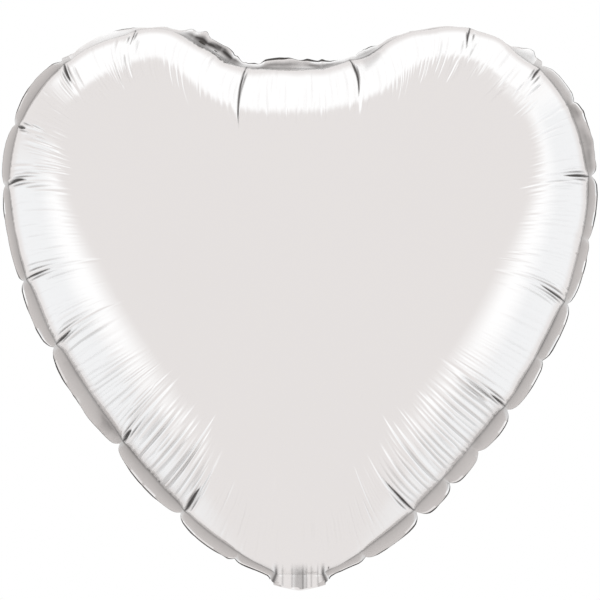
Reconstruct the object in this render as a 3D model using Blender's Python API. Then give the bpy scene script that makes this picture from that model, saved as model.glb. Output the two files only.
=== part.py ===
"""Heart-shaped foil balloon: two metallised film panels welded round their edge, and a filling tail.

Units are metres and +Z is up. The heart stands upright and its front faces -Y. The origin is at the
neck, where the tail is creased and where a ribbon is tied. The film is about 0.03 mm thick in life
and is drawn 0.3 mm thick here, so that every sheet is a solid of its own.
"""

import math

import bmesh
import bpy
import numpy as np
from mathutils import Matrix, Vector

# Film and seal
FILM = 0.0003              # drawn thickness of every film
GAP = 0.0003               # clearance kept between neighbouring sheets
SEAL_WIDTH = 0.0095        # width of the welded rim round the heart
SEAL_MARGIN = 0.0003       # weld stops this far from both edges of the rim

# Heart
HALF_DEPTH = 0.094         # how far each panel bulges from the seal plane
DOME_POWER = 0.56          # roundness of the bulge: 0.5 meets the rim at a right angle
NECK_SLOPE = math.tan(math.radians(49.0))   # the panels open as a wedge above the flat neck
OUTLINE_STEPS = 4          # straight lengths between two outline points
DOME_RINGS = (0.012, 0.035, 0.075, 0.13, 0.20, 0.29, 0.40, 0.52, 0.66, 0.82)
DOME_CENTRE = (0.0, 0.215)

# Right half of the heart's outline, from the neck to the cleft: distance from the middle, height
NECK_HALF = 0.017
CREASE_GAP = 0.0009        # film stops this far from the crease line
OUTLINE = (
    (0.036, 0.012),
    (0.066, 0.033),
    (0.096, 0.060),
    (0.124, 0.092),
    (0.149, 0.126),
    (0.169, 0.160),
    (0.183, 0.193),
    (0.192, 0.226),
    (0.197, 0.258),
    (0.196, 0.290),
    (0.185, 0.324),
    (0.163, 0.351),
    (0.133, 0.369),
    (0.099, 0.375),
    (0.066, 0.369),
    (0.040, 0.356),
    (0.019, 0.350),
)
CLEFT = (0.0, 0.349)

# Tail
TAIL_LENGTH = 0.075
TAIL_MOUTH_HALF = 0.0225
TAIL_FLARE_START = 0.045   # the tail keeps the neck's width down to here, then flares
TAIL_SEAL = 0.0045         # width of the weld down each side of the tail
TAIL_LEAN = math.radians(57.0)   # angle between the folded tail and the upright heart

# Self-closing valve: two narrow clear plies through the neck
VALVE_HALF = 0.0115
VALVE_REACH_IN = 0.055     # how far the plies reach into the heart
VALVE_REACH_OUT = 0.055    # how far the plies reach down the tail

# Finishes: colour, metallic, roughness, alpha
FRONT_FOIL = ((0.80, 0.79, 0.785), 1.0, 0.20, 1.0)
BACK_FOIL = ((0.78, 0.775, 0.77), 1.0, 0.22, 1.0)
WELDED_FOIL = ((0.62, 0.61, 0.60), 0.6, 0.35, 1.0)
CLEAR_FILM = ((0.90, 0.92, 0.93), 0.0, 0.15, 0.5)

# Distances of the sheet faces from the middle plane of the flat rim
VALVE_NEAR = GAP / 2
VALVE_FAR = VALVE_NEAR + FILM
FOIL_NEAR = VALVE_FAR + GAP
FOIL_FAR = FOIL_NEAR + FILM


def clear_scene():
    for obj in list(bpy.data.objects):
        bpy.data.objects.remove(obj, do_unlink=True)


def make_material(name, finish):
    colour, metallic, roughness, alpha = finish
    material = bpy.data.materials.new(name)
    material.use_nodes = True
    shader = material.node_tree.nodes["Principled BSDF"]
    shader.inputs["Base Color"].default_value = (*colour, 1.0)
    shader.inputs["Metallic"].default_value = metallic
    shader.inputs["Roughness"].default_value = roughness
    shader.inputs["Alpha"].default_value = alpha
    material.diffuse_color = (*colour, alpha)
    material.metallic = metallic
    material.roughness = roughness
    return material


def make_object(name, points, faces, finish, smooth=False, parent=None):
    mesh = bpy.data.meshes.new(name)
    mesh.from_pydata([tuple(float(c) for c in p) for p in points], [], faces)
    shape = bmesh.new()
    shape.from_mesh(mesh)
    bmesh.ops.recalc_face_normals(shape, faces=shape.faces)
    if shape.calc_volume(signed=True) < 0.0:
        bmesh.ops.reverse_faces(shape, faces=shape.faces)
    shape.to_mesh(mesh)
    shape.free()
    mesh.validate()
    if smooth:
        mesh.polygons.foreach_set("use_smooth", [True] * len(mesh.polygons))
        mesh.set_sharp_from_angle(angle=math.radians(50.0))
    mesh.materials.append(make_material(name + "_film", finish))
    obj = bpy.data.objects.new(name, mesh)
    bpy.context.scene.collection.objects.link(obj)
    obj.parent = parent
    return obj


def spline(points, steps):
    """Points of a smooth curve through the given ones; the first and last only steer its ends."""
    curve = []
    for a, b, c, d in zip(points, points[1:], points[2:], points[3:]):
        a, b, c, d = (np.array(p) for p in (a, b, c, d))
        for i in range(steps):
            t = i / steps
            curve.append(
                0.5 * (2 * b + (c - a) * t + (2 * a - 5 * b + 4 * c - d) * t**2
                       + (3 * b - a - 3 * c + d) * t**3)
            )
    curve.append(np.array(points[-2]))
    return curve


def heart_outline():
    """The film's edge, going round from the neck's right corner; the neck's straight edge comes last."""
    corner = (NECK_HALF, CREASE_GAP)
    first = (2 * corner[0] - OUTLINE[0][0], 2 * corner[1] - OUTLINE[0][1])
    last = (-OUTLINE[-1][0], OUTLINE[-1][1])
    right = spline((first, corner, *OUTLINE, CLEFT, last), OUTLINE_STEPS)
    left = [np.array((-p[0], p[1])) for p in reversed(right[:-1])]
    neck = [np.array((NECK_HALF * s, CREASE_GAP)) for s in (-0.5, 0.0, 0.5)]
    return np.array(right + left), np.array(neck)


def offset_inwards(loop, distance):
    """The closed loop moved inwards, along the direction halfway between its two edges' normals."""
    before = loop - np.roll(loop, 1, axis=0)
    after = np.roll(loop, -1, axis=0) - loop
    before /= np.linalg.norm(before, axis=1)[:, None]
    after /= np.linalg.norm(after, axis=1)[:, None]
    normal_a = np.stack([-before[:, 1], before[:, 0]], axis=1)
    normal_b = np.stack([-after[:, 1], after[:, 0]], axis=1)
    middle = normal_a + normal_b
    middle /= (1 + np.sum(normal_a * normal_b, axis=1))[:, None]
    return loop + middle * distance


def softness(points, loop):
    """A smooth measure of how far each point is from the rim, zero on the rim itself."""
    ends = np.roll(loop, -1, axis=0)
    parts = 6
    total = np.zeros(len(points))
    for k in range(parts):
        middle = loop + (ends - loop) * ((k + 0.5) / parts)
        length = np.linalg.norm(ends - loop, axis=1) / parts
        gap = np.sum((points[:, None, :] - middle[None, :, :]) ** 2, axis=2)
        total += np.sum(length[None, :] / np.maximum(gap, 1e-9), axis=1)
    return 1.0 / total


def bulge(points, loop):
    """How far the blown-up panel stands off the seal plane at each point."""
    soft = softness(points, loop)
    centre = softness(np.array([DOME_CENTRE]), loop)[0]
    dome = HALF_DEPTH * (soft / centre) ** DOME_POWER
    wedge = NECK_SLOPE * np.maximum(points[:, 1] - loop[:, 1].min(), 1e-6)
    return (dome**-4 + wedge**-4) ** -0.25


def make_panel(name, side, edge, seal, finish):
    """One foil panel: a flat rim and a dome, as a thin closed body. side is -1 front, +1 back."""
    centre = np.array(DOME_CENTRE)
    rings = [edge, seal]
    for t in DOME_RINGS:
        rings.append(seal + (centre - seal) * t)
    flat = np.concatenate(rings + [centre[None, :]])
    count = len(edge)
    height = np.zeros(len(flat))
    inside = slice(2 * count, len(flat))
    height[inside] = bulge(flat[inside], seal)
    faces = []
    for r in range(len(rings) - 1):
        for i in range(count):
            j = (i + 1) % count
            a, b = r * count + i, r * count + j
            faces.append((a, b, b + count, a + count))
    last = (len(rings) - 1) * count
    for i in range(count):
        faces.append((last + i, last + (i + 1) % count, len(flat) - 1))
    middle = np.stack([flat[:, 0], side * (FOIL_NEAR + FILM / 2 + height), flat[:, 1]], axis=1)
    normals = outward_normals(middle, faces, side)
    outer = middle + normals * (FILM / 2)
    inner = middle - normals * (FILM / 2)
    total = len(flat)
    body = [tuple(f) for f in faces]
    body += [tuple(v + total for v in reversed(f)) for f in faces]
    for i in range(count):
        j = (i + 1) % count
        body.append((j, i, i + total, j + total))
    return make_object(name, np.concatenate([outer, inner]), body, finish, smooth=True)


def outward_normals(points, faces, side):
    normals = np.zeros_like(points)
    for face in faces:
        corners = points[list(face)]
        normal = np.cross(corners[1] - corners[0], corners[2] - corners[0])
        normal /= max(np.linalg.norm(normal), 1e-12)
        for v in face:
            normals[v] += normal
    normals /= np.linalg.norm(normals, axis=1)[:, None]
    return normals if np.sum(normals[:, 1]) * side > 0 else -normals


def make_strip(name, outer, inner, half_thick, finish, parent=None):
    """A flat band between two lines of points, given as across and along, that lies in the middle."""
    count = len(outer)
    points = []
    for line in (outer, inner):
        for y in (-half_thick, half_thick):
            points += [(p[0], y, p[1]) for p in line]
    corner = (0, count, 3 * count, 2 * count)
    faces = []
    for i in range(count - 1):
        for k in range(4):
            a, b = corner[k], corner[(k + 1) % 4]
            faces.append((a + i, b + i, b + i + 1, a + i + 1))
    faces.append(tuple(corner))
    faces.append(tuple(c + count - 1 for c in reversed(corner)))
    return make_object(name, points, faces, finish, parent=parent)


def make_sheet(name, half_widths, near, far, finish, parent=None):
    """A flat ply between two distances from the middle plane; half_widths lists (height, half width)."""
    points = []
    for y in (near, far):
        points += [(-w, y, z) for z, w in half_widths]
        points += [(w, y, z) for z, w in half_widths]
    count = len(half_widths)
    faces = []
    for i in range(count - 1):
        faces.append((i, i + 1, count + i + 1, count + i))
        faces.append((2 * count + i, 3 * count + i, 3 * count + i + 1, 2 * count + i + 1))
        faces.append((i, 2 * count + i, 2 * count + i + 1, i + 1))
        faces.append((count + i, count + i + 1, 3 * count + i + 1, 3 * count + i))
    faces.append((0, count, 3 * count, 2 * count))
    faces.append((count - 1, 3 * count - 1, 4 * count - 1, 2 * count - 1))
    return make_object(name, points, faces, finish, parent=parent)


def tail_half_width(distance):
    """Half width of the tail at a distance from the crease: straight, then flaring to the mouth."""
    t = max(0.0, (distance - TAIL_FLARE_START) / (TAIL_LENGTH - TAIL_FLARE_START))
    return NECK_HALF + (TAIL_MOUTH_HALF - NECK_HALF) * t * t * (3 - 2 * t)


def build_heart():
    rim, neck = heart_outline()
    edge = np.concatenate([rim, neck])
    seal = offset_inwards(edge, SEAL_WIDTH)
    make_panel("front_foil", -1, edge, seal, FRONT_FOIL)
    make_panel("back_foil", 1, edge, seal, BACK_FOIL)
    start = offset_inwards(edge, SEAL_MARGIN)[: len(rim)]
    stop = offset_inwards(edge, SEAL_WIDTH - SEAL_MARGIN)[: len(rim)]
    make_strip("perimeter_seal_weld", start, stop, VALVE_FAR, WELDED_FOIL)
    lengths = [(CREASE_GAP, VALVE_HALF), (VALVE_REACH_IN - 0.004, VALVE_HALF)]
    lengths.append((VALVE_REACH_IN, VALVE_HALF - 0.003))
    make_sheet("valve_inner_front", lengths, -VALVE_FAR, -VALVE_NEAR, CLEAR_FILM)
    make_sheet("valve_inner_back", lengths, VALVE_NEAR, VALVE_FAR, CLEAR_FILM)


def build_tail():
    """The tail is drawn hanging straight down from the crease, then folded up behind the heart."""
    hinge = bpy.data.objects.new("tail_hinge", None)
    bpy.context.scene.collection.objects.link(hinge)
    stations = [CREASE_GAP, 0.015, 0.030, 0.045, 0.053, 0.060, 0.067, 0.072, TAIL_LENGTH]
    widths = [(-d, tail_half_width(d)) for d in stations]
    made = [
        make_sheet("tail_front_foil", widths, -FOIL_FAR, -FOIL_NEAR, FRONT_FOIL, hinge),
        make_sheet("tail_back_foil", widths, FOIL_NEAR, FOIL_FAR, BACK_FOIL, hinge),
    ]
    for name, side in (("tail_side_weld_left", -1), ("tail_side_weld_right", 1)):
        outer = [(side * (w - SEAL_MARGIN), z) for z, w in widths]
        inner = [(side * (w - TAIL_SEAL), z) for z, w in widths]
        made.append(make_strip(name, outer, inner, VALVE_FAR, WELDED_FOIL, hinge))
    reach = [(-CREASE_GAP, VALVE_HALF), (-VALVE_REACH_OUT, VALVE_HALF)]
    made.append(make_sheet("valve_tail_front", reach, -VALVE_FAR, -VALVE_NEAR, CLEAR_FILM, hinge))
    made.append(make_sheet("valve_tail_back", reach, VALVE_NEAR, VALVE_FAR, CLEAR_FILM, hinge))
    # The crease runs along the back face of the film, so every sheet sits in front of the hinge.
    for obj in made:
        obj.data.transform(Matrix.Translation(Vector((0.0, -FOIL_FAR, 0.0))))
    hinge.location = (0.0, FOIL_FAR, 0.0)
    hinge.rotation_euler = (math.pi - TAIL_LEAN, 0.0, 0.0)
    bpy.context.view_layer.update()


def main():
    clear_scene()
    build_heart()
    build_tail()


main()
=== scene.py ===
"""Looks of the heart-shaped foil balloon: puckered silver film, rim, tail, valve, light and camera.

Metres, +Z up, the heart's front faces -Y. The two panels are built as fine sheets over a smooth dome:
creases, pillows between them and fine wrinkles are moves along the dome's normal.
"""

import math

import bpy
import numpy as np
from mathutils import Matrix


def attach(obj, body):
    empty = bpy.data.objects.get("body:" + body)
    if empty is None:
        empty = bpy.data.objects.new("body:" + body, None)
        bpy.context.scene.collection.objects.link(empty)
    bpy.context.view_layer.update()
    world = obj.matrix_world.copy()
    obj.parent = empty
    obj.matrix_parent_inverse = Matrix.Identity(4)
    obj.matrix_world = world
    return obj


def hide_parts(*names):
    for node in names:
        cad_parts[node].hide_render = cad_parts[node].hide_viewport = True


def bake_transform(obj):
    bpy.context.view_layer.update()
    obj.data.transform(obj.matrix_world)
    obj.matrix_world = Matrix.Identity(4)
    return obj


# Edge of the heart's film, as in the CAD: its right half from the neck to the cleft, as (x, z)
NECK_CORNER = (0.017, 0.0009)
OUTLINE = (
    (0.036, 0.012), (0.066, 0.033), (0.096, 0.060), (0.124, 0.092), (0.149, 0.126), (0.169, 0.160),
    (0.183, 0.193), (0.192, 0.226), (0.197, 0.258), (0.196, 0.290), (0.185, 0.324), (0.163, 0.351),
    (0.133, 0.369), (0.099, 0.375), (0.066, 0.369), (0.040, 0.356), (0.019, 0.350),
)
CLEFT = (0.0, 0.349)
SEAL_WIDTH = 0.0095  # from the film's edge to the line where the panels part
NECK_HALF = 0.017
NECK_ARC = 0.0050  # how much higher the creased neck is at its corners than in its middle
HALF_DEPTH = 0.0935  # bulge of each panel
CENTRE = np.array((0.0, 0.215))  # where each panel's rings close
NECK_SLOPE = math.tan(math.radians(49.0))

# Mesh of a panel
AROUND = 2400  # columns round the rim
RING_STEP = 0.0034  # spacing of the outer rings along the film
OUTER_RINGS = 28
RIM_ROUND = 0.0884  # near the rim, the dome's height squared over the distance in plan
# Rings further in: spacing of their columns, then the share of the way to the centre of each
INNER_LEVELS = (
    (2, (0.39, 0.42, 0.45, 0.48, 0.51, 0.54, 0.57, 0.60)),
    (4, (0.635, 0.67, 0.71, 0.75)),
    (8, (0.79, 0.83, 0.87)),
    (16, (0.91, 0.94, 0.97)),
)
START_RUN = 0.060  # columns leave the rim at a right angle for about this far
RIM_STEPS = (0.22, 0.50, 0.78, 0.86, 1.0)  # rows across the sealed rim, as shares of its width
PLY_GAP = 0.0002  # from the rim's middle surface to each ply
NECK_GAP = 0.0008  # the same at the neck, round the valve

# Creases, clockwise from the cleft's left end: where each starts on the rim (x, z) and fades out (x, z), its
# strength, the rim's width and backward lean in degrees from there to the next, and the length and half
# width of the pocket it starts with, dark with painted shade; lengths in mm
CREASES = (
    (-35, 345, -45, 299, 1.0, 7.0, 68, 46, 0.6),
    (33, 350, 39, 302, 1.0, 7.5, 66, 30, 0.8),
    (52, 359, 55, 347, 0.4, 7.0, 71, 0, 0),
    (112, 370, 107, 350, 0.8, 8.0, 62, 19, 0.6),
    (142, 364, 141, 357, 0.3, 14.5, 60, 0, 0),
    (159, 345, 138, 319, 1.0, 10.0, 33, 14, 0.9),
    (183, 324, 173, 317, 0.3, 8.5, 16, 0, 0),
    (194, 274, 151, 270, 1.0, 6.5, 10, 22, 0.9),
    (191, 232, 178, 228, 0.4, 7.0, 10, 0, 0),
    (172, 192, 118, 216, 1.0, 8.5, 8, 24, 0.8),
    (162, 151, 150, 157, 0.4, 8.5, 8, 0, 0),
    (138, 120, 82, 160, 1.0, 10.5, 6, 16, 0.8),
    (119, 91, 108, 99, 0.4, 10.5, 6, 0, 0),
    (101, 69, 92, 78, 0.4, 10.5, 6, 0, 0),
    (77, 52, 40, 94, 1.0, 9.5, 6, 33, 0.8),
    (45, 20, 39, 30, 0.4, 6.0, 6, 0, 0),
    (-44, 19, -38, 29, 0.4, 8.5, 8, 0, 0),
    (-76, 53, -50, 103, 1.0, 10.5, 6, 23, 1.3),
    (-119, 97, -78, 149, 1.0, 11.0, 6, 12, 1.3),
    (-163, 161, -114, 194, 1.0, 8.5, 8, 17, 1.0),
    (-180, 206, -124, 218, 1.0, 6.0, 10, 22, 0.7),
    (-191, 268, -153, 271, 1.0, 6.0, 10, 16, 1.1),
    (-186, 307, -166, 299, 0.75, 7.5, 12, 8, 1.1),
    (-156, 348, -135, 311, 1.0, 14.0, 60, 18, 1.1),
    (-108, 369, -116, 350, 0.8, 9.5, 70, 14, 0.5),
)
# Single fine ridges: place on the rim (x, z), and where they start and end inwards; in mm
RIDGES = (
    (-7.5, 349, 16, 50), (-2.5, 349, 86, 96), (-40, 346, 34, 64), (-44, 348, 40, 58),
    (36, 350, 22, 62), (39, 352, 20, 50), (30, 350, 26, 44), (133, 366, 20, 44),
    (127, 368, 24, 40), (152, 354, 30, 52), (148, 358, 34, 56), (86, 58, 28, 64),
    (93, 64, 32, 72), (99, 69, 28, 60), (106, 76, 34, 70), (114, 85, 30, 58),
    (121, 93, 34, 66), (129, 104, 30, 54), (-85, 61, 28, 62), (-91, 67, 34, 74),
    (-98, 74, 32, 62), (-105, 81, 36, 72), (-112, 89, 32, 60), (-124, 103, 38, 66),
)
# Where the film gathers into regular wrinkles: between (x, z) and (x, z) on the rim, in mm, and how much
GATHERED = (
    (-76, 53, -119, 97, 1.0),
    (-119, 97, -163, 161, 0.45),
    (138, 120, 77, 52, 0.8),
    (172, 192, 138, 120, 0.1),
)
# Where the film stays smooth close to the rim, given in the same way
SMOOTH = (
    (172, 192, 138, 120, 0.65),
    (-119, 97, -163, 161, 0.40),
)
# Where the rim is crumpled: place (x, z) and half length in mm, how much, and how much painted shade its
# folds get
CRUMPLED = (
    (-55, 361, 20, 1.0, 1.0),
    (-14, 349, 20, 0.30, 0.45),
    (14, 349, 14, 0.35, 0.60),
    (43, 357, 9, 0.5, 0.25),
    (148, 358, 9, 0.38, 0.16),
    (185, 320, 7, 0.6, 0.36),
    (196, 292, 15, 0.55, 0.30),
    (120, 92, 6, 0.3, 0.09),
)
STRONG = 0.7  # creases at least this strong turn the film beside them and notch the rim deeply
PULL_HALF = 0.018  # how far along the rim a strong crease turns the film
NOTCH_WIDTH = 0.0034  # sealed rim left at a strong crease
FAINT_NOTCH_WIDTH = 0.0062  # the same at a faint one
NOTCH_REACH = 0.0009  # how far the seam juts out at a strong crease
NOTCH_HALF = 0.0045
NOTCH_LEAN = 48  # degrees by which the rim leans back at a notch
NOTCH_ROUND = 0.36  # the smaller, the squarer the rim between two notches
TIP_RIM = 0.0042  # width of the sealed rim on both sides of the neck
CLEFT_DIP = 0.0045  # how much lower the seam lies at the cleft's left end
CLEFT_DIP_HALF = 0.013
PILLOW = -0.0006  # how far the seam bows out between two strong creases
PILLOW_REACH = 0.030
CRUMPLE_RISE = 34  # degrees by which a crumpled rim stands up again where it leans back
STEEP = (45, 70)  # lean in degrees from which it does so, partly and fully
UPPER = (45, 60)  # lean at which a rim counts as one of the upper lobes, partly and fully
BRIGHT_LEAN = 57  # a rim that leans back further gets the panels' brighter film and mirrors like them, a painted highlight
RIM_TURNS = (60, (0.008, 0.022), 8.0)  # its slow turns: how many, half length, degrees
CURLS = (64, (0.004, 0.014), (0.4, 1.0))  # where its edge curls back: how many, half length, how much
RIM_DENTS = (420, (0.0009, 0.0036))  # its small dents: how many, half length
DENT_HEIGHTS = (0.00010, 0.00032)  # towards the seam and at the edge
CURL_START = 0.78  # share of the rim's width from which its edge curls back
CURL_DEPTH = 0.75
# Patch of painted shade beside the cleft, standing in for a flatter facet of film: place on the rim in mm,
# half width, length inwards in its middle and how much longer it is at its left side
FACET = (44, 356, 0.0085, 0.0115, 0.0035)
FACET_SHADE = 0.24
VALLEY_DEPTH = 0.0009  # of the shallow valley that every crease runs out in
VALLEY_HALF = 0.0018
POCKET_DEPTH = 1.5  # of the pocket at the start of a crease, for its half width
STRAND_DEPTH = 0.0008  # fine lines beside each strong crease
STRAND_HALF = 0.00054
STRANDS = 5
CRISP_STRANDS = 2  # the first ones are crisper and closer to the crease
LONE_POCKET = 0.028  # a pocket this long has a single line beside it
RIDGE_HEIGHT = 0.00030
RIDGE_HALF = 0.0009
# Sets of fine wrinkles, all round and where the film gathers: spacing, half width, start, reach and height
FINE = (
    (0.0021, (0.0006, 0.0013), (0.002, 0.040), (0.030, 0.060), 0.13),
    (0.0028, (0.0006, 0.0010), (0.0, 0.003), (0.010, 0.024), 0.18),
    (0.0024, (0.0006, 0.0011), (0.040, 0.062), (0.026, 0.046), 0.13),
)
REGULAR = (
    (0.0032, (0.0008, 0.0012), (0.002, 0.014), (0.078, 0.112), 0.18),
    (0.0026, (0.0007, 0.0009), (0.0, 0.002), (0.014, 0.026), 0.22),
)
VALLEY_SHADE = 0.27  # darkest painted shade that a wrinkle's valley gets
FOLD_SHADE = 0.16  # shade next to the seam in the gathered stretches
PUCKERS = 70  # broader soft folds
NECK_PLEAT = 0.0016  # pleats of the film where it runs down through the neck
NECK_PLEAT_STEP = 0.0160
NECK_LINES = (-0.0112, -0.0050, 0.0022, 0.0046, 0.0078, 0.0120)  # its thin lines of painted shade

# Tail and valve, as in the CAD
TAIL_LEAN = math.radians(57.0)  # between the folded tail and the upright heart
TAIL_HINGE = np.array((0.0, 0.00105, 0.0))
TAIL_MIDDLE = 0.00105  # from the hinge to the sleeve's middle plane
TAIL_BEND = 0.009  # length of film in the bend at the crease
TAIL_LENGTH = 0.075
TAIL_MOUTH_HALF = 0.0225
TAIL_FLARE_START = 0.045
TAIL_SEAL = 0.0045
VALVE_HALF = 0.0115
VALVE_REACH_IN = 0.055
VALVE_REACH_OUT = 0.055
TAIL_START = -0.0012  # the plies start just inside the neck
TAIL_RIPPLES = 34
TAIL_SHAPE = ((26, 60), 81)  # rows in the bend and beyond it, columns
VALVE_SHAPE = ((40, 60), 17)  # rows above and below the crease, columns

WELD_PROUD = 0.00140  # how far the weld's edge stands out of the plies, at most
# Lines across the weld: share of the rim's width, whether it stands proud of it, and half thickness
WELD_LINES = (
    (0.08, 0, 0.00012), (0.5, 0, 0.00012), (0.8, 0, 0.00012), (1.0, 0, 0.00012), (1.0, 1, 0.00005),
)

FLOOR_LEVEL = -0.30
FLOOR_RADIUS = 2.2
BLACK = (0.0, 0.0, 0.0, 1.0)
WHITE = (1.0, 1.0, 1.0, 1.0)
# The room as the film mirrors it: grey in front, white round it, a little dimmer further back
ROOM_GREY = (0.845, 0.815, 0.808, 1.0)
ROOM_WHITE = (1.09, 1.09, 1.095, 1.0)
ROOM_DIM = (0.95, 0.96, 0.975, 1.0)


def spline(points, steps):
    """Points of a smooth curve through the given ones; the first and last only steer its ends."""
    curve = []
    for a, b, c, d in zip(points, points[1:], points[2:], points[3:]):
        a, b, c, d = (np.array(p) for p in (a, b, c, d))
        for i in range(steps):
            t = i / steps
            curve.append(0.5 * (2 * b + (c - a) * t + (2 * a - 5 * b + 4 * c - d) * t**2
                                + (3 * b - a - 3 * c + d) * t**3))
    curve.append(np.array(points[-2]))
    return curve


def heart_outline():
    """The film's edge as a closed loop, anticlockwise seen from the front, starting at the neck."""
    first = tuple(2 * c - p for c, p in zip(NECK_CORNER, OUTLINE[0]))
    last = (-OUTLINE[-1][0], OUTLINE[-1][1])
    right = spline((first, NECK_CORNER, *OUTLINE, CLEFT, last), 12)
    left = [np.array((-p[0], p[1])) for p in reversed(right[:-1])]
    neck = [np.array((NECK_CORNER[0] * s, NECK_CORNER[1])) for s in np.linspace(-0.9, 0.9, 9)]
    return np.array(right + left + neck)


def spaced(loop, count):
    """The closed loop as count points at equal distances, and its length."""
    ring = np.vstack([loop, loop[:1]])
    along = np.concatenate([[0.0], np.cumsum(np.linalg.norm(np.diff(ring, axis=0), axis=1))])
    at = np.linspace(0.0, along[-1], count, endpoint=False)
    return np.stack([np.interp(at, along, ring[:, k]) for k in range(2)], axis=1), along[-1]


def eased(values, times):
    """Values round a loop, averaged with their neighbours a number of times."""
    for _ in range(times):
        values = 0.5 * values + 0.25 * (np.roll(values, 1, axis=0) + np.roll(values, -1, axis=0))
    return values


def unit(vectors):
    return vectors / np.linalg.norm(vectors, axis=-1, keepdims=True)


def outward(loop):
    along = np.roll(loop, -1, axis=0) - np.roll(loop, 1, axis=0)
    return unit(np.stack([along[:, 1], -along[:, 0]], axis=1))


def inset(loop, distance):
    """The loop moved inwards, without the points that come too close to it again at a corner."""
    moved = loop - outward(loop) * distance
    near = np.concatenate([
        np.linalg.norm(part[:, None, :] - loop[None, :, :], axis=2).min(axis=1)
        for part in np.array_split(moved, 12)
    ])
    return moved[near > 0.98 * distance]


def ramp(x, low, high):
    """0 up to low, 1 from high on, smooth between."""
    t = np.clip((x - low) / (high - low), 0.0, 1.0)
    return t * t * (3 - 2 * t)


def bell(x, half, power=2):
    """1 at 0, fading out on both sides; a higher power gives a flatter top."""
    return np.exp(-(x / half) ** power)


def quads(a, b, c, d):
    """Two triangles for every four corners."""
    return [np.stack([a, b, c], axis=1), np.stack([a, c, d], axis=1)]


def upright(flat, y=0.0):
    """Points or directions (x, z) of the heart's plane as (x, y, z)."""
    return np.stack([flat[:, 0], y + 0 * flat[:, 0], flat[:, 1]], axis=1)


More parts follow.
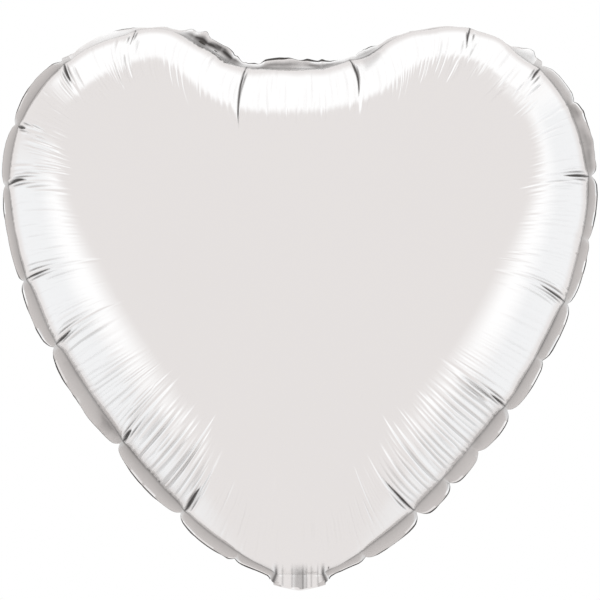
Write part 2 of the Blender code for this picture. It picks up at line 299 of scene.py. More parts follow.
class Rim:
    """The line where the blown-up part meets the sealed rim, and what varies along it."""

    def __init__(self):
        edge, _ = spaced(heart_outline(), AROUND)
        seam, _ = spaced(inset(edge, SEAL_WIDTH), AROUND)
        self.line, self.length = spaced(eased(seam, 8), AROUND)
        self.out = unit(eased(outward(self.line), 12))
        self.along = np.arange(AROUND) / AROUND * self.length
        self.neck = self.beside_neck(0.015, 0.019)
        # Place along the rim, strength, width in mm and lean of each crease
        self.marks = sorted((self.place_of(*row[:2]), *row[4:7]) for row in CREASES)
        self.crumple = self.crumpled(3)
        # how much painted shade the folds of each crumpled stretch get
        self.streak = self.crumpled(4)
        self.tilt = self.tilted()
        self.upper = ramp(self.tilt, *UPPER)
        self.lean = self.tilt - CRUMPLE_RISE * self.crumple * ramp(self.tilt, *STEEP)
        self.line = self.line + self.out * self.shortfall()[:, None]
        self.out = unit(eased(outward(self.line), 12))
        self.push = self.scallops()
        to_centre = unit(CENTRE - self.line)
        tip = eased(self.beside_neck(0.025, 0.085), 60)[:, None]
        self.start = unit(-self.out * (1 - tip) + to_centre * tip)
        self.follow_creases()

    def around_gap(self, here):
        """Signed distance along the rim of every column from a place on it."""
        return (self.along - here + self.length / 2) % self.length - self.length / 2

    def beside_neck(self, low, high):
        """1 at the neck, fading out between these distances from the middle."""
        return (1 - ramp(np.abs(self.line[:, 0]), low, high)) * (self.line[:, 1] < 0.1)

    def spots(self, rng, count, halves, power=2):
        """Soft spots at random places along the rim, one after the other, with their half lengths."""
        for _ in range(count):
            place = rng.uniform(0, self.length)
            half = rng.uniform(*halves)
            yield bell(self.around_gap(place), half, power), half

    def gap_to(self, x, z):
        """Signed distance along the rim of every column from the column nearest to a point in mm."""
        return self.around_gap(self.place_of(x, z))

    def place_of(self, x, z):
        """Where on the rim a point in mm is."""
        gap = np.linalg.norm(self.line * 1000 - np.array((x, z)), axis=1)
        return self.along[gap.argmin()]

    def crumpled(self, item):
        """For every column, this item of the table of crumpled stretches, fading out at their ends."""
        amount = np.zeros(AROUND)
        for row in CRUMPLED:
            gap = self.gap_to(*row[:2]) * 1000
            amount = np.maximum(amount, row[item] * bell(gap, row[2], 4))
        return amount

    def tilted(self):
        """How many degrees the sealed rim leans back where it isn't crumpled."""
        lean = np.zeros(AROUND)
        for mark, _, inside, _, _ in self.spans(self.marks):
            lean[inside] = mark[3]
        return eased(lean, 120)

    def shortfall(self):
        """How much nearer to the film's edge the seam lies where the sealed rim is narrow or leans back."""
        extra = np.zeros(AROUND)
        for mark, _, inside, _, _ in self.spans(self.marks):
            extra[inside] = SEAL_WIDTH - mark[2] / 1000 * np.cos(np.radians(self.lean[inside]))
        dip = CLEFT_DIP * bell(self.gap_to(*CREASES[0][:2]), CLEFT_DIP_HALF)
        return eased(extra, 300) * (1 - self.beside_neck(0.020, 0.060)) - dip

    def follow_creases(self):
        """Turns the columns that start near a strong crease so that they run along it."""
        pull = np.zeros(AROUND)
        turn = np.zeros((AROUND, 2))
        for x, z, x_in, z_in, strength, *_ in CREASES:
            if strength < STRONG:
                continue
            gap = self.gap_to(x, z)
            start = self.line[np.abs(gap).argmin()]
            end = np.array((x_in, z_in)) / 1000
            share = np.linalg.norm(end - start) / (3 * START_RUN + 0.02)
            towards = unit(end - start - 2.1 * share**2 * (CENTRE - start))
            near = 0.7 * bell(gap, PULL_HALF)
            pull += near
            turn += near[:, None] * towards
        pull = np.clip(pull, 0, 1)[:, None]
        self.start = unit(eased(self.start * (1 - pull) + turn, 300))

    def scallops(self):
        """How far the seam bows out between strong creases, and juts out at each."""
        push = np.zeros(AROUND)
        for mark, _, inside, share, span in self.spans([m for m in self.marks if m[1] >= STRONG]):
            push[inside] += PILLOW * min(1.0, span / 0.05) * np.sin(np.pi * share) ** 0.8
            push += NOTCH_REACH * mark[1] * np.clip(1 - np.abs(self.around_gap(mark[0])) / NOTCH_HALF, 0, 1)
        return eased(push, 1) * (1 - self.neck)

    def share_to(self, here, before):
        """How far every column is on the way back from a place to the one before, and that way's length."""
        span = (here - before) % self.length
        return ((here - self.along) % self.length) / span, span

    def spans(self, marks):
        """For each mark: itself, the one before, the columns between them, their shares and the length."""
        for before, mark in zip(marks[-1:] + marks[:-1], marks):
            share, span = self.share_to(mark[0], before[0])
            inside = share < 1
            yield mark, before, inside, share[inside], span


class SealedRim:
    """The flat sealed rim's middle surface: how wide it is, how it leans and how it is crumpled."""

    def __init__(self, rim, rng):
        self.rim = rim
        self.width = np.full(AROUND, SEAL_WIDTH)
        for mark, before, inside, t, _ in rim.spans(rim.marks):
            low = notch_width(mark[1]) * (1 - t) + notch_width(before[1]) * t
            self.width[inside] = low + (mark[2] / 1000 - low) * np.sin(np.pi * t) ** NOTCH_ROUND
        beside = rim.beside_neck(0.019, 0.042)
        self.width = self.width * (1 - beside) + TIP_RIM * beside
        neck_width = rim.line[:, 1] - crease_height(rim.line[:, 0])
        self.width = eased(self.width * (1 - rim.neck) + neck_width * rim.neck, 2)
        lean = rim.lean
        for spot, _ in rim.spots(rng, *RIM_TURNS[:2]):
            lean = lean + rng.normal(0.0, RIM_TURNS[2]) * spot
        pinch = np.zeros(AROUND)
        for here, strength, _, _ in rim.marks:
            near = np.clip(1 - np.abs(rim.around_gap(here)) / 0.006, 0, 1) ** 1.5
            pinch = np.maximum(pinch, (0.3 + 0.7 * strength) * near)
        lean = lean + (NOTCH_LEAN - lean) * pinch * (lean < NOTCH_LEAN)
        self.lean = np.radians(np.clip(lean, -25, 84)) * (1 - rim.neck)
        self.dash = self.curled(rng)
        self.curl = self.dash * (1 - 0.8 * rim.upper)
        self.wave = self.waves(rng)
        self.width += 0.35 * rim.crumple * self.wave[1]

    def curled(self, rng):
        """Stretches where the film's very edge curls back, from 0 to 1."""
        curl = np.zeros(AROUND)
        for spot, _ in self.rim.spots(rng, *CURLS[:2], 4):
            curl = np.maximum(curl, rng.uniform(*CURLS[2]) * spot)
        return curl * (1 - self.rim.neck)

    def waves(self, rng):
        """Small dents of the rim out of its surface, one set for the seam's side and one for the edge."""
        sets = []
        for size in DENT_HEIGHTS:
            wave = np.zeros(AROUND)
            for spot, half in self.rim.spots(rng, *RIM_DENTS):
                wave += rng.normal(0.0, 1.0) * (half / 0.0022) * spot
            sets.append(size * wave * (0.45 + 2.2 * self.rim.crumple))
        return sets

    def place(self, share):
        """Middle surface's points and front normals at this share of the width."""
        rim = self.rim
        out = upright(rim.out)
        back = np.array((0.0, 1.0, 0.0))
        cos, sin = np.cos(self.lean)[:, None], np.sin(self.lean)[:, None]
        ahead = out * cos + back * sin
        normal = out * sin - back * cos
        line = upright(rim.line) + out * rim.push[:, None]
        curl = np.maximum(share - CURL_START, 0.0) * CURL_DEPTH * self.curl
        wave = self.wave[0] * share * (1 - share) * 4 + self.wave[1] * share**2 - curl * self.width
        pleats = neck_pleat(rim.line[:, 0]) * rim.neck
        far = share * self.width
        return line + ahead * far[:, None] + normal * (wave + pleats)[:, None], normal


def crease_height(x):
    """Height of the crease at the neck, which bows up towards its corners."""
    return NECK_CORNER[1] + NECK_ARC * np.clip(np.abs(x) / NECK_HALF, 0, 1.1) ** 2


def neck_pleat(x):
    """How far the neck's film stands out of its flat plane, the same for every ply."""
    return NECK_PLEAT * np.cos(2 * np.pi * x / NECK_PLEAT_STEP)


def neck_shade(x):
    """Painted shade on the neck's film: greyer in the middle pleat, dark in the slits at its corners."""
    shade = 0.40 * bell(x, 0.0042, 4) + 0.90 * bell(np.abs(x) - 0.0156, 0.0012)
    for line in NECK_LINES:
        shade = shade + 0.35 * bell(x - line, 0.0005)
    return shade


def notch_width(strength):
    return NOTCH_WIDTH if strength >= STRONG else FAINT_NOTCH_WIDTH


def softness(points, loop):
    """A smooth measure of how far each point is from the loop: one over the sum of length / distance^2."""
    ends = np.roll(loop, -1, axis=0)
    run = ends - loop
    length = np.linalg.norm(run, axis=1)
    run /= length[:, None]
    result = np.empty(len(points))
    for low in range(0, len(points), 4000):
        gap = points[low:low + 4000, None, :] - loop[None, :, :]
        along = np.sum(gap * run[None, :, :], axis=2)
        across = np.abs(gap[:, :, 0] * run[None, :, 1] - gap[:, :, 1] * run[None, :, 0]) + 1e-7
        angle = np.arctan2(along, across) + np.arctan2(length[None, :] - along, across)
        result[low:low + 4000] = 1.0 / np.sum(angle / across, axis=1)
    return result


def dome_height(points, loop, floor):
    soft = softness(points, loop)
    dome = HALF_DEPTH * np.sqrt(soft / softness(CENTRE[None, :], loop))
    wedge = NECK_SLOPE * np.maximum(points[:, 1] - floor, 1e-6)
    return (dome**-4 + wedge**-4) ** -0.25


def ring_plan():
    """(step between columns, share of the way to the centre) of each ring."""
    rings = []
    for j in range(OUTER_RINGS):
        film = RING_STEP * j
        reach = (math.sqrt(RIM_ROUND**2 + 4 * film**2) - RIM_ROUND) / 2
        rings.append((1, reach / (3 * START_RUN)))
    for step, shares in INNER_LEVELS:
        rings += [(step, share) for share in shares]
    return rings


def column_points(rim, columns, share):
    """Plan positions of the given columns at this share of their way to the centre."""
    start = rim.line[columns]
    first = start + rim.start[columns] * START_RUN
    second = CENTRE + (start - CENTRE) * 0.30
    t = share
    return (start * (1 - t) ** 3 + 3 * first * t * (1 - t) ** 2
            + 3 * second * t * t * (1 - t) + CENTRE * t**3)


class Panel:
    """One panel's points, ring by ring: columns, plan position, distance from the rim, height, normal."""

    def __init__(self, rim):
        self.rim = rim
        self.rings = ring_plan()
        self.columns = [np.arange(0, AROUND, step) for step, _ in self.rings]
        plan = [column_points(rim, c, share) for c, (_, share) in zip(self.columns, self.rings)]
        self.starts = np.cumsum([0] + [len(c) for c in self.columns])
        self.plan = np.vstack(plan + [CENTRE])
        self.column = np.concatenate(self.columns + [np.array([0])])
        loop = rim.line[::4]
        height = dome_height(self.plan, loop, loop[:, 1].min())
        height[: AROUND] = 0.0
        self.height = height
        self.film = np.zeros(len(self.plan))
        for j in range(1, len(self.rings)):
            here = slice(self.starts[j], self.starts[j + 1])
            step, before = self.rings[j][0], self.rings[j - 1][0]
            last = np.arange(self.starts[j - 1], self.starts[j], step // before)
            rise = height[here] - height[last]
            run = np.linalg.norm(self.plan[here] - self.plan[last], axis=1)
            self.film[here] = self.film[last] + np.hypot(rise, run)
        self.film[-1] = self.film[-2]
        self.run = np.linalg.norm(self.plan - rim.line[self.column], axis=1)
        self.faces = self.make_faces()
        self.normal = self.make_normals()

    def make_faces(self):
        faces = []
        for j in range(len(self.rings) - 1):
            n, m = len(self.columns[j]), len(self.columns[j + 1])
            a, b = self.starts[j], self.starts[j + 1]
            i = np.arange(m)
            if n == m:
                faces += quads(a + i, a + (i + 1) % n, b + (i + 1) % n, b + i)
            else:
                o = 2 * i
                faces.append(np.stack([a + o, a + o + 1, b + i], axis=1))
                faces.append(np.stack([a + o + 1, b + (i + 1) % m, b + i], axis=1))
                faces.append(np.stack([a + o + 1, a + (o + 2) % n, b + (i + 1) % m], axis=1))
        n = len(self.columns[-1])
        a = self.starts[-2]
        i = np.arange(n)
        faces.append(np.stack([a + i, a + (i + 1) % n, np.full(n, self.starts[-1])], axis=1))
        return np.vstack(faces)

    def make_normals(self):
        """Outward normals of the smooth dome seen as the front panel, with the rim's lying in its plane."""
        points = upright(self.plan, -self.height)
        corner = points[self.faces]
        face = np.cross(corner[:, 1] - corner[:, 0], corner[:, 2] - corner[:, 0])
        normal = np.zeros_like(points)
        for k in range(3):
            for axis in range(3):
                normal[:, axis] += np.bincount(self.faces[:, k], face[:, axis], minlength=len(points))
        normal[: AROUND] = upright(self.rim.out)
        return unit(normal)


def creases(panel, rng):
    """The folds that run in from the rim's notches: a deep leaf-shaped pocket, fine lines beside it and a
    faint valley on to the crease's end. Returns the move along the normal and the painted shade of the
    pockets, lines and crease starts."""
    run = panel.run
    move = np.zeros(len(panel.plan))
    dark = np.zeros(len(panel.plan))
    for x, z, x_in, z_in, strength, _, _, length, width in CREASES:
        gap = panel.rim.gap_to(x, z)[panel.column]
        reach = np.hypot(x_in - x, z_in - z) / 1000
        share = np.clip(run / reach, 0, 1)
        valley = bell(gap, VALLEY_HALF * (1 - 0.5 * share)) * ramp(run, 0.0, 0.001) * (1 - share) ** 0.8
        move -= VALLEY_DEPTH * strength * valley
        dark = np.maximum(dark, 0.9 * strength * bell(gap, 0.0010) * bell(run, 0.0014))
        if not length:
            continue
        length, width = length / 1000, width / 1000
        bend = rng.uniform(-0.0014, 0.0014)
        inside = np.clip(run / length, 0, 1)
        leaf = np.sin(np.pi * inside ** 0.7)
        side = (gap - bend * np.sin(np.pi * inside)) / (width * (0.25 + 0.75 * leaf))
        move -= POCKET_DEPTH * width * leaf * bell(np.abs(side), 1, 2.5)
        fade = (1 - ramp(inside, 0.75, 1.0)) * (1 - 0.3 * inside)
        dark = np.maximum(dark, 1.4 * bell(np.abs(side), 1, 3) * fade)
        if strength < STRONG:
            continue
        for k in range(STRANDS if length < LONE_POCKET else 1):
            crisp = k < CRISP_STRANDS
            start = rng.uniform(0.002, 0.006) if crisp else rng.uniform(0.004, 0.020)
            end = start + reach * rng.uniform(0.35, 0.60)
            offset = rng.uniform(0.0022, 0.0032) if crisp else rng.uniform(0.0040, 0.0080)
            offset *= 1 if k % 2 else -1
            depth = 1.0 if crisp else rng.uniform(0.2, 0.5)
            inside = np.clip((run - start) / (end - start), 0, 1)
            taper = np.sin(np.pi * inside ** 0.6)
            side = (gap - offset * (1 - 0.4 * share)) / (STRAND_HALF * (0.5 + 0.5 * taper))
            move -= STRAND_DEPTH * depth * taper * (bell(side, 1) - 0.6 * bell(side - 2.2, 1))
            dark = np.maximum(dark, 0.95 * depth * taper * bell(side, 1) * (1 - 0.7 * inside))
    return move, np.minimum(dark, 1.0)


def facet(panel):
    """Painted shade on a patch of film beside the crease at the cleft's right end, standing in for a flatter
    facet.
    """
    gap = panel.rim.gap_to(*FACET[:2])[panel.column] / FACET[2]
    edge = FACET[3] + FACET[4] * gap
    inside = ramp(panel.run, 0.0004, 0.0030) * (1 - ramp(panel.run, edge - 0.0050, edge))
    return FACET_SHADE * inside * (1 - ramp(np.abs(gap), 0.50, 1.0))


def seam_shade(panel, rng):
    """Painted shade: a dark line in the valley between the rim and the blown-up part, stronger in some
    stretches.
    """
    rim = panel.rim
    amount = np.full(AROUND, 0.58)
    for spot, _ in rim.spots(rng, 60, (0.004, 0.020)):
        amount += rng.uniform(-0.10, 0.22) * spot
    amount = np.clip(amount, 0.20, 0.85) * (1 - rim.neck)
    return amount[panel.column] * bell(panel.run, 0.0010, 1.2)


def wrinkles(panel, rng, step, width, start, reach, size):
    """Fine wrinkles square to the rim, each with its own place, width, start, reach and height."""
    rim = panel.rim
    count = int(rim.length / step)
    place = (np.arange(count) + rng.uniform(-0.45, 0.45, count)) * rim.length / count
    half = rng.uniform(*width, count)
    begin = rng.uniform(*start, count)
    end = begin + rng.uniform(*reach, count)
    high = rng.normal(0.0, 1.0, count)
    high *= 0.45 + 0.55 * np.abs(high)
    move = np.zeros(len(panel.plan))
    for k in range(count):
        gap = rim.around_gap(place[k])[panel.column]
        near = np.abs(gap) < 4 * half[k]
        u = gap[near] / half[k]
        run = end[k] - begin[k]
        film = panel.film[near]
        fade = ramp(film, begin[k], begin[k] + 0.3 * run) * (1 - ramp(film, begin[k] + 0.5 * run, end[k]))
        move[near] += high[k] * size * half[k] * (1 - u * u) * np.exp(-u * u / 2) * fade
    return move


def stretches(rim, table):
    """The table's amount for every column, between the two places on the rim that each row gives."""
    share_of = np.zeros(AROUND)
    for x, z, x_to, z_to, much in table:
        before, here = sorted((rim.place_of(x, z), rim.place_of(x_to, z_to)))
        share, _ = rim.share_to(here, before)
        share_of[share < 1] = much
    return eased(share_of, 60)


def ridges(panel):
    """The single fine ridges of the table."""
    move = np.zeros(len(panel.plan))
    for x, z, start, end in RIDGES:
        inside = np.clip((panel.run * 1000 - start) / (end - start), 0, 1)
        line = bell(panel.rim.gap_to(x, z), RIDGE_HALF)[panel.column]
        move += RIDGE_HEIGHT * np.sin(np.pi * inside**0.7) ** 2 * line
    return move


def puckers(panel, rng):
    """Broader soft folds close to the rim."""
    rim = panel.rim
    place = rng.uniform(0, rim.length, PUCKERS)
    width = rng.uniform(0.004, 0.009, PUCKERS)
    reach = rng.uniform(0.025, 0.070, PUCKERS)
    high = rng.normal(0.0, 0.00035, PUCKERS)
    move = np.zeros(len(panel.plan))
    for k in range(PUCKERS):
        gap = rim.around_gap(place[k])[panel.column]
        fade = ramp(panel.film, 0.0, 0.010) * (1 - ramp(panel.film, 0.3 * reach[k], reach[k]))
        move += high[k] * bell(gap, width[k]) * fade
    return move


def neck_pleats(panel):
    """The neck's pleats, running up into the blown-up part."""
    wave = neck_pleat(panel.plan[:, 0])
    return wave * panel.rim.neck[panel.column] * (1 - ramp(panel.film, 0.004, 0.016))


def tautness(panel):
    """How much of the fine wrinkles is left: less at the tip, in the upper half and where it is smooth."""
    x, z = panel.plan.T
    taut = 1 - 0.35 * ramp(z, 0.15, 0.24)
    taut *= 1 - 0.78 * (1 - ramp(z, 0.050, 0.115))
    taut *= 1 - 0.70 * ramp(z, 0.285, 0.31) * (1 - ramp(x, -0.15, -0.12))
    taut *= 1 - 0.60 * ramp(z, 0.260, 0.29) * ramp(x, 0.11, 0.15)
    return taut * (1 - stretches(panel.rim, SMOOTH)[panel.column] * (1 - ramp(panel.run, 0.030, 0.050)))


def fine_wrinkles(panel, rng):
    """All sets of fine wrinkles, and the painted shade in their valleys close to the rim and along the seam
    where the film gathers.
    """
    fine = sum(wrinkles(panel, rng, *row) for row in FINE)
    gathers = sum(wrinkles(panel, rng, *row) for row in REGULAR)
    zone = stretches(panel.rim, GATHERED)[panel.column]
    fine = fine * tautness(panel)
    gathers = gathers * zone
    valleys = -(fine * (0.14 + 0.36 * zone) + 0.9 * gathers) / 0.0004
    valleys = np.clip(valleys, 0, VALLEY_SHADE) * (1 - ramp(panel.run, 0.026, 0.046))
    return fine + gathers, valleys + FOLD_SHADE * zone * bell(panel.run, 0.0065)


def panel_mesh(name, panel, sealed, side, seed):
    """One film sheet with its half of the sealed rim. side is -1 for the front and 1 for the back."""
    rng = np.random.default_rng(seed)
    rim = panel.rim
    push = rim.push[panel.column] * bell(panel.film, PILLOW_REACH, 1.5)
    folds, dark = creases(panel, rng)
    shade = seam_shade(panel, rng)
    fine, valleys = fine_wrinkles(panel, rng)
    move = push + folds + fine + puckers(panel, rng) + ridges(panel)
    points = upright(panel.plan, -panel.height) + panel.normal * move[:, None]
    gap = PLY_GAP + (NECK_GAP - PLY_GAP) * rim.neck
    inner = gap[panel.column] * (1 - ramp(panel.film, 0.0, 0.02)) - side * neck_pleats(panel)
    points[:, 1] = side * (inner - points[:, 1])
    rows = []
    for share in (0.0, *RIM_STEPS):
        middle, normal = sealed.place(share)
        rows.append(middle - side * normal * gap[:, None])
    points[: AROUND] = rows[0]
    count, rim_rows = len(points), len(RIM_STEPS)
    rim_ids = [np.arange(AROUND)] + [count + r * AROUND + np.arange(AROUND) for r in range(rim_rows)]
    faces = [panel.faces]
    for a, b in zip(rim_ids, rim_ids[1:]):
        faces += quads(a, b, np.roll(b, -1), np.roll(a, -1))
    # the sealed rim gets the panels' brighter film where it leans back past BRIGHT_LEAN, and on its
    # outermost row where its edge curls: a painted highlight
    matt = ((rim.neck < 0.5) & (rim.tilt < BRIGHT_LEAN)).astype(int)
    outermost = matt * (sealed.curl < 0.5)
    slots = [np.zeros(len(panel.faces), int)] + [matt] * (2 * rim_rows - 2) + [outermost] * 2
    faces = np.vstack(faces)
    if side > 0:
        faces = faces[:, ::-1]
    around = np.concatenate([rim.along[panel.column]] + [rim.along] * rim_rows)
    film = np.concatenate([panel.film] + [-SEAL_WIDTH * np.full(AROUND, share) for share in RIM_STEPS])
    obj = make_mesh(name, np.vstack([points] + rows[1:]), faces, around, film, np.concatenate(slots))
    # painted shade in the neck's pleats and slits
    throat = neck_shade(panel.plan[:, 0]) * rim.neck[panel.column] * (1 - ramp(panel.film, 0.003, 0.014))
    # painted shade on the patch beside the cleft, front panel only
    if side < 0:
        valleys = np.maximum(valleys, facet(panel))
    darks = [np.maximum.reduce([dark, shade, throat, valleys])]
    darks += [rim_shade(rim, share, shade[: AROUND]) for share in RIM_STEPS]
    write_shade(obj, np.concatenate(darks))
    return obj


def rim_shade(rim, share, seam):
    """Painted shade on the sealed rim at this share of its width; seam is the painted shade at the seam."""
    return (0.45 * seam * (1 - share) + rim.streak * crumple_shade(rim.along, share)
            + neck_shade(rim.line[:, 0]) * rim.neck)


def crumple_shade(along, share):
    """Painted shade on the crumpled rim: a blotchy streak that wanders across its width."""
    middle = 0.45 + 0.14 * np.sin(along * 110 + 1.0) + 0.08 * np.sin(along * 310)
    blotch = 0.95 + 0.14 * np.sin(along * 620 + 3.0) + 0.10 * np.sin(along * 1300)
    return np.clip(1.25 * blotch, 0, 1.1) * bell(share - middle, 0.26)


def weld_mesh(name, sealed):
    """The melted seal between the two plies, which shows as a fine line along the film's edge."""
    rim = sealed.rim
    keep = rim.neck < 0.5
    first = np.flatnonzero(keep & ~np.roll(keep, 1))[0]
    order = [(first + i) % AROUND for i in range(int(keep.sum()))]
    edge, _ = sealed.place(1.0)
    inner, _ = sealed.place(0.9)
    proud = WELD_PROUD * (0.15 + 0.85 * sealed.dash) * (1 + 0.6 * rim.upper)
    beyond = unit(edge - inner) * proud[:, None]
    upper, lower = [], []
    for share, out, thick in WELD_LINES:
        middle, normal = sealed.place(share)
        upper.append((middle + beyond * out + normal * thick)[order])
        lower.append((middle + beyond * out - normal * thick)[order])
    lines = upper + lower[::-1]
    return tube(name, lines, rim.along[order], np.linspace(0, 0.02, len(lines)))


def tube(name, lines, along, around):
    """A closed solid through lines of points, which are its section's corners in order."""
    points = np.stack(lines, axis=1).reshape(-1, 3)
    count, sides = len(lines[0]), len(lines)
    i = np.arange(count - 1) * sides
    faces = []
    for k in range(sides):
        a, b = i + k, i + (k + 1) % sides
        faces += quads(a, a + sides, b + sides, b)
    fan = np.array([(0, k, k + 1) for k in range(1, sides - 1)])
    faces = np.vstack(faces + [fan, (count - 1) * sides + fan[:, ::-1]])
    return make_mesh(name, points, faces, np.repeat(along, sides), np.tile(around, count))


def make_mesh(name, points, faces, across, along, slots=None):
    """A smooth mesh of triangles. across and along are every point's place on the flat film."""
    mesh = bpy.data.meshes.new(name)
    mesh.vertices.add(len(points))
    mesh.vertices.foreach_set("co", points.astype(np.float32).ravel())
    mesh.loops.add(faces.size)
    mesh.loops.foreach_set("vertex_index", faces.astype(np.int32).ravel())
    mesh.polygons.add(len(faces))
    mesh.polygons.foreach_set("loop_start", np.arange(0, faces.size, 3, dtype=np.int32))
    if slots is not None:
        mesh.polygons.foreach_set("material_index", slots.astype(np.int32))
    mesh.update(calc_edges=True)
    mesh.polygons.foreach_set("use_smooth", np.ones(len(faces), bool))
    layer = mesh.uv_layers.new(name="film")
    places = np.stack([across, along], axis=1)[faces.ravel()]
    layer.data.foreach_set("uv", places.astype(np.float32).ravel())
    mesh.validate()
    obj = bpy.data.objects.new(name, mesh)
    bpy.context.scene.collection.objects.link(obj)
    return obj


def write_shade(obj, dark):
    """Stores the painted shade at every point, for its material."""
    obj.data.attributes.new("painted_shade", "FLOAT", "POINT").data.foreach_set("value", dark.astype(np.float32))


def feed(socket, value):
    """Gives a node's input another node's output or a plain value."""
    if isinstance(value, bpy.types.NodeSocket):
        socket.id_data.links.new(value, socket)
    else:
        socket.default_value = value


def noise(place, scale, detail=2.0):
    node = place.id_data.nodes.new("ShaderNodeTexNoise")
    feed(node.inputs["Vector"], place)
    feed(node.inputs["Scale"], scale)
    feed(node.inputs["Detail"], detail)
    return node.outputs["Fac"]


def streaked(film, length, scale):
    """Noise drawn out along the film."""
    node = film.id_data.nodes.new("ShaderNodeMapping")
    feed(node.inputs["Vector"], film)
    feed(node.inputs["Scale"], (1.0, length, 1.0))
    return noise(node.outputs["Vector"], scale)


def between(factor, low, high):
    """A number or a colour between two, by the factor."""
    node = factor.id_data.nodes.new("ShaderNodeMix")
    node.data_type = "RGBA" if isinstance(high, tuple) or getattr(high, "type", "") == "RGBA" else "FLOAT"
    for socket, value in zip([n for n in node.inputs if n.enabled], (factor, low, high)):
        feed(socket, value)
    return [n for n in node.outputs if n.enabled][0]


def smooth_step(value, low, high):
    node = value.id_data.nodes.new("ShaderNodeMapRange")
    node.interpolation_type = "SMOOTHSTEP"
    feed(node.inputs["Value"], value)
    feed(node.inputs["From Min"], low)
    feed(node.inputs["From Max"], high)
    return node.outputs["Result"]


def calculate(operation, *values):
    """The result of a sum with outputs of nodes and plain numbers."""
    tree = [v.id_data for v in values if isinstance(v, bpy.types.NodeSocket)][0]
    node = tree.nodes.new("ShaderNodeMath")
    node.operation = operation
    for socket, value in zip(node.inputs, values):
        feed(socket, value)
    return node.outputs[0]


def plus(a, b):
    return calculate("ADD", a, b)


def times(a, b):
    return calculate("MULTIPLY", a, b)


def new_material(name):
    """A new material, its nodes, its shader's inputs and the places that its patterns can use."""
    material = bpy.data.materials.new(name)
    material.use_nodes = True
    nodes = material.node_tree.nodes
    return material, nodes, nodes["Principled BSDF"].inputs, nodes.new("ShaderNodeTexCoord").outputs


def foil_material(name, colour, shade, roughness, bump):
    """Metallised film: streaks run in from the rim, painted shade darkens it in folds and seams, roughness
    drifts.
    """
    material, nodes, shader, place = new_material(name)
    # painted shade stored on the mesh: darker, rougher and less metallic where it is high
    attribute = nodes.new("ShaderNodeAttribute")
    attribute.attribute_name = "painted_shade"
    painted_shade = attribute.outputs["Fac"]
    grain = noise(place["Object"], 9.0, 3.0)
    tint = between(grain, colour, tuple(c * 0.985 for c in colour))
    uneven = between(grain, roughness * 0.8, roughness * 1.3)
    feed(shader["Base Color"], between(painted_shade, tint, shade))
    feed(shader["Roughness"], plus(uneven, times(painted_shade, 0.5)))
    feed(shader["Metallic"], calculate("SUBTRACT", 1.0, times(painted_shade, 0.9)))
    streaks = streaked(place["UV"], 0.045, 900.0)
    crinkle = noise(place["Object"], 260.0, 3.0)
    relief = nodes.new("ShaderNodeBump")
    feed(relief.inputs["Strength"], 1.0)
    feed(relief.inputs["Distance"], bump)
    feed(relief.inputs["Height"], plus(times(streaks, 0.75), times(crinkle, 0.25)))
    feed(shader["Normal"], relief.outputs["Normal"])
    return material


def tail_half_width(distance):
    """Half width of the tail at a distance from the crease: straight, then flaring to the mouth."""
    return NECK_HALF + (TAIL_MOUTH_HALF - NECK_HALF) * ramp(distance, TAIL_FLARE_START, TAIL_LENGTH)


class Tail:
    """The sleeve that runs on from the neck, behind the heart: a smooth bend, then straight."""

    def __init__(self, rng):
        self.along = np.array((0.0, math.sin(TAIL_LEAN), math.cos(TAIL_LEAN)))
        self.up = np.array((0.0, -math.cos(TAIL_LEAN), math.sin(TAIL_LEAN)))
        self.ripples = [
            (rng.uniform(-0.02, 0.02), rng.uniform(0.0010, 0.0030), rng.uniform(0.0, 0.05),
             rng.uniform(0.015, 0.045), rng.normal(0.0, 0.00038))
            for _ in range(TAIL_RIPPLES)
        ]

    def ripple(self, x, distance):
        """Soft lengthways crinkles of the whole sleeve, out of its plane."""
        wave = np.zeros_like(x)
        for place, half, start, run, high in self.ripples:
            inside = np.clip((distance - start) / run, 0, 1)
            wave += high * np.sin(np.pi * inside) ** 2 * bell(x - place, half)
        return wave

    def place(self, x, distance, off):
        """Points of a ply: x across, distance from the crease, off its distance above the middle plane.
        Above is the side that faces the heart's back; below the crease the film turns from the neck."""
        straight = (TAIL_HINGE + self.along * distance[:, None]
                    + self.up * (off - TAIL_MIDDLE + self.ripple(x, distance))[:, None])
        start = np.stack([np.zeros_like(x), off - neck_pleat(x), crease_height(x)], axis=1)
        end = TAIL_HINGE + self.along * TAIL_BEND + self.up * (off - TAIL_MIDDLE)[:, None]
        t = np.clip(distance / TAIL_BEND, 0, 1)[:, None]
        down = np.array((0.0, 0.0, -1.0)) * 0.9 * TAIL_BEND
        ahead = self.along * 0.9 * TAIL_BEND
        bend = ((2 * t**3 - 3 * t**2 + 1) * start + (t**3 - 2 * t**2 + t) * down
                + (-2 * t**3 + 3 * t**2) * end + (t**3 - t**2) * ahead)
        above = np.array((0.0, 0.0, 1.0)) * np.maximum(-distance, 0.0)[:, None]
        points = np.where(distance[:, None] > TAIL_BEND, straight, bend) + above
        points[:, 0] = x
        return points


def ply_grid(distances, columns, side):
    """Every point's share across a ply, from -1 to 1, and its distance from the crease, and the faces."""
    across, distance = np.meshgrid(np.linspace(-1.0, 1.0, columns), distances)
    i, j = np.meshgrid(np.arange(len(distances) - 1), np.arange(columns - 1), indexing="ij")
    a = (i * columns + j).ravel()
    faces = np.vstack(quads(a, a + 1, a + columns + 1, a + columns))
    return across.ravel(), distance.ravel(), faces if side < 0 else faces[:, ::-1]


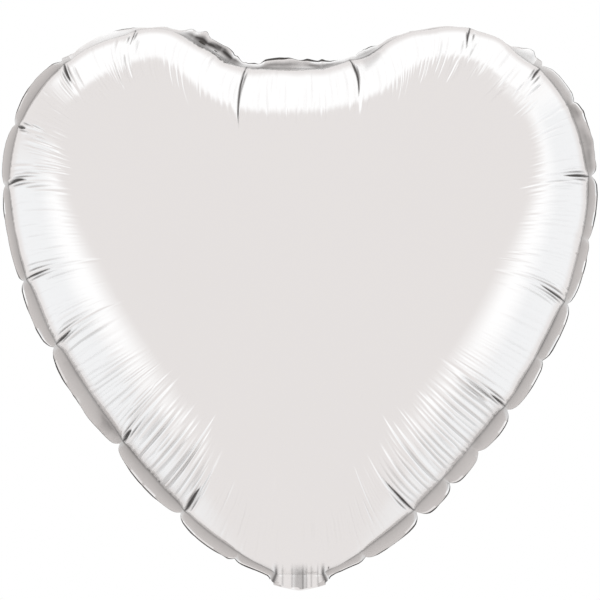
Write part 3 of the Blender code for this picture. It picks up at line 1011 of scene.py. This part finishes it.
def tail_ply(name, tail, side):
    """One ply of the sleeve. side is -1 for the one outside the fold and 1 for the one inside it."""
    rows, columns = TAIL_SHAPE
    bend = np.linspace(TAIL_START, TAIL_BEND, rows[0])
    distances = np.concatenate([bend, np.linspace(TAIL_BEND, TAIL_LENGTH, rows[1])[1:]])
    across, distance, faces = ply_grid(distances, columns, side)
    half = tail_half_width(distance)
    x = across * half
    open_share = np.clip(np.abs(x) / (half - TAIL_SEAL), 0, 1)
    belly = 0.0013 + 0.0012 * ramp(distance, 0.055, TAIL_LENGTH)
    off = side * (NECK_GAP - 0.00006 + belly * (1 - open_share**2) ** 1.5 * ramp(distance, 0.004, 0.020))
    face_half = half[faces].mean(axis=1)
    middle = np.abs(across[faces]).mean(axis=1) * face_half
    slots = (middle > face_half - TAIL_SEAL).astype(int)
    obj = make_mesh(name, tail.place(x, distance, off), faces, x, -distance, slots)
    # painted shade along the line where the tail's seal meets its open part
    edge = np.clip((np.abs(x) - half + TAIL_SEAL) / TAIL_SEAL, -1, 1)
    write_shade(obj, 0.35 * bell(edge, 0.12))
    return obj


def tail_weld(name, tail, side):
    """The seal down one side of the tail, a thin band between the plies."""
    distances = np.linspace(0.0005, TAIL_LENGTH, 90)
    half = tail_half_width(distances)
    outer, inner = side * (half + 0.0002), side * (half - TAIL_SEAL)
    thick = 0.00035
    corners = ((outer, -thick), (inner, -thick), (inner, thick), (outer, thick))
    lines = [tail.place(x, distances, np.full_like(distances, off)) for x, off in corners]
    return tube(name, lines, distances, (0.0, 1.0, 1.0, 0.0))


def valve_ply(name, tail, side):
    """One clear ply of the valve: up inside the heart, through the neck and down inside the tail."""
    rows, columns = VALVE_SHAPE
    inner = np.linspace(VALVE_REACH_IN, 0.0005, rows[0])
    outer = np.linspace(0.0, VALVE_REACH_OUT, rows[1])
    across, distance, faces = ply_grid(np.concatenate([-inner, outer]), columns, side)
    half = VALVE_HALF - 0.003 * ramp(-distance, VALVE_REACH_IN - 0.006, VALVE_REACH_IN)
    x = across * half
    part = (0.0004 + 0.0004 * np.sin(distance * 160 + 2 * across) ** 2) * (1 - across**2)
    off = side * (0.0002 + part * ramp(np.abs(distance), 0.0, 0.02))
    points = tail.place(x, distance, off)
    points[:, 1] += ramp(-distance, 0.004, 0.020) * neck_pleat(x)
    return make_mesh(name, points, faces, x, -distance)


def clear_material():
    """Thin clear polyethylene with faint lengthways streaks."""
    material, _, shader, place = new_material("clear_valve_film")
    streaks = streaked(place["UV"], 0.08, 700.0)
    feed(shader["Base Color"], between(streaks, (0.88, 0.90, 0.91, 1.0), (0.96, 0.97, 0.98, 1.0)))
    feed(shader["Roughness"], between(streaks, 0.10, 0.24))
    feed(shader["Alpha"], between(streaks, 0.30, 0.42))
    feed(shader["IOR"], 1.5)
    return material


def build_floor():
    """A pale round floor below the balloon, which fades to white towards its edge."""
    mesh = bpy.data.meshes.new("floor")
    turns = [2 * math.pi * k / 96 for k in range(96)]
    ring = [(FLOOR_RADIUS * math.cos(a), FLOOR_RADIUS * math.sin(a), FLOOR_LEVEL) for a in turns]
    mesh.from_pydata(ring, [], [tuple(range(96))])
    floor = bpy.data.objects.new("floor", mesh)
    bpy.context.scene.collection.objects.link(floor)
    material, nodes, shader, place = new_material("pale_floor")
    length = nodes.new("ShaderNodeVectorMath")
    length.operation = "LENGTH"
    feed(length.inputs[0], place["Object"])
    far = smooth_step(length.outputs["Value"], 0.15 * FLOOR_RADIUS, 0.75 * FLOOR_RADIUS)
    near = between(noise(place["Object"], 3.0), (0.90, 0.90, 0.905, 1.0), (0.93, 0.93, 0.93, 1.0))
    feed(shader["Base Color"], between(far, near, BLACK))
    feed(shader["Roughness"], 0.9)
    feed(shader["Specular IOR Level"], 0.0)
    feed(shader["Emission Color"], WHITE)
    feed(shader["Emission Strength"], far)
    mesh.materials.append(material)
    floor.visible_glossy = False


def build_world():
    """The studio. The camera sees plain white; the film mirrors a grey room with white walls and ceiling.
    y runs from -1 in front of the heart to 1 behind it, level is the slope upwards seen from the front."""
    world = bpy.data.worlds.new("studio")
    bpy.context.scene.world = world
    world.use_nodes = True
    nodes = world.node_tree.nodes
    split = nodes.new("ShaderNodeSeparateXYZ")
    feed(split.inputs[0], nodes.new("ShaderNodeTexCoord").outputs["Generated"])
    x, y, z = split.outputs
    flat = calculate("SQRT", plus(times(x, x), times(z, z)))
    level = calculate("DIVIDE", z, calculate("MAXIMUM", flat, 0.001))
    higher = times(smooth_step(level, -0.35, 0.55), 0.22)
    beside = smooth_step(calculate("SUBTRACT", y, higher), -0.56, -0.32)
    glow = times(smooth_step(y, -0.15, 0.15), 0.14)
    low = smooth_step(plus(level, glow), -0.88, -0.40)
    left = smooth_step(level, 0.50, 0.02)
    right = smooth_step(level, 0.95, 0.55)
    high = between(smooth_step(x, -0.2, 0.2), left, right)
    walls = times(beside, times(low, high))
    ceiling = times(smooth_step(y, -0.14, -0.02), smooth_step(level, 0.60, 0.78))
    white = times(calculate("MAXIMUM", walls, ceiling), smooth_step(y, 0.84, 0.58))
    farther = times(smooth_step(y, -0.30, 0.05), smooth_step(level, 0.70, 0.45))
    room = between(white, ROOM_GREY, between(farther, ROOM_WHITE, ROOM_DIM))
    seen = nodes.new("ShaderNodeLightPath").outputs["Is Camera Ray"]
    feed(nodes["Background"].inputs["Color"], between(seen, room, WHITE))


def build_camera():
    data = bpy.data.cameras.new("camera")
    data.lens = 135.0
    data.sensor_width = 36.0
    camera = bpy.data.objects.new("camera", data)
    bpy.context.scene.collection.objects.link(camera)
    camera.location = (0.0003, -0.397 * data.lens / data.sensor_width, 0.192)
    camera.rotation_euler = (math.pi / 2, 0.0, 0.0)
    bpy.context.scene.camera = camera
    bpy.context.scene.view_settings.view_transform = "Standard"


def wear(piece, *materials):
    for material in materials:
        piece.data.materials.append(material)


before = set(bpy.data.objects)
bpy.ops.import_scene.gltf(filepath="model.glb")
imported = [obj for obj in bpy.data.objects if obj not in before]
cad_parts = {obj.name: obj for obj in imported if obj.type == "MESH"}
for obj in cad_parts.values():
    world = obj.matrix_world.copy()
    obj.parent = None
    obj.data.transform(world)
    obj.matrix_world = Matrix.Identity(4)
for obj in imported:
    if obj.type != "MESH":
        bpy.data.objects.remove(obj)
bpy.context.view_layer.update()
rim = Rim()
panel = Panel(rim)
sealed_rim = SealedRim(rim, np.random.default_rng(5))
foil = foil_material("silver_film", (0.94, 0.935, 0.93, 1.0), (0.055, 0.05, 0.048, 1.0), 0.09, 0.00002)
matt_foil = foil_material("sealed_rim", (0.725, 0.71, 0.70, 1.0), (0.08, 0.075, 0.07, 1.0), 0.25, 0.00004)
melted = foil_material("welded_edge", (0.10, 0.095, 0.09, 1.0), (0.05, 0.045, 0.04, 1.0), 0.45, 0.00002)
clear = clear_material()
for name, side, seed in (("balloon_front", -1, 11), ("balloon_back", 1, 12)):
    sheet = panel_mesh(name, panel, sealed_rim, side, seed)
    wear(sheet, foil, matt_foil)
    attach(sheet, "envelope")
    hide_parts("front_foil" if side < 0 else "back_foil")
weld = weld_mesh("rim_weld", sealed_rim)
wear(weld, melted)
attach(weld, "envelope")
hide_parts("perimeter_seal_weld")
tail = Tail(np.random.default_rng(8))
for name, side, node in (("tail_front", -1, "tail_front_foil"), ("tail_back", 1, "tail_back_foil")):
    ply = tail_ply(name, tail, side)
    wear(ply, foil, matt_foil)
    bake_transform(ply)
    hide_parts(node)
for name, side, node in (("tail_weld_left", -1, "tail_side_weld_left"),
                         ("tail_weld_right", 1, "tail_side_weld_right")):
    strip = tail_weld(name, tail, side)
    wear(strip, melted)
    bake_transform(strip)
    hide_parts(node)
for name, side, inner, outer in (("valve_ply_front", -1, "valve_inner_front", "valve_tail_front"),
                                 ("valve_ply_back", 1, "valve_inner_back", "valve_tail_back")):
    ply = valve_ply(name, tail, side)
    wear(ply, clear)
    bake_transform(ply)
    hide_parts(inner, outer)
build_floor()
build_world()
build_camera()
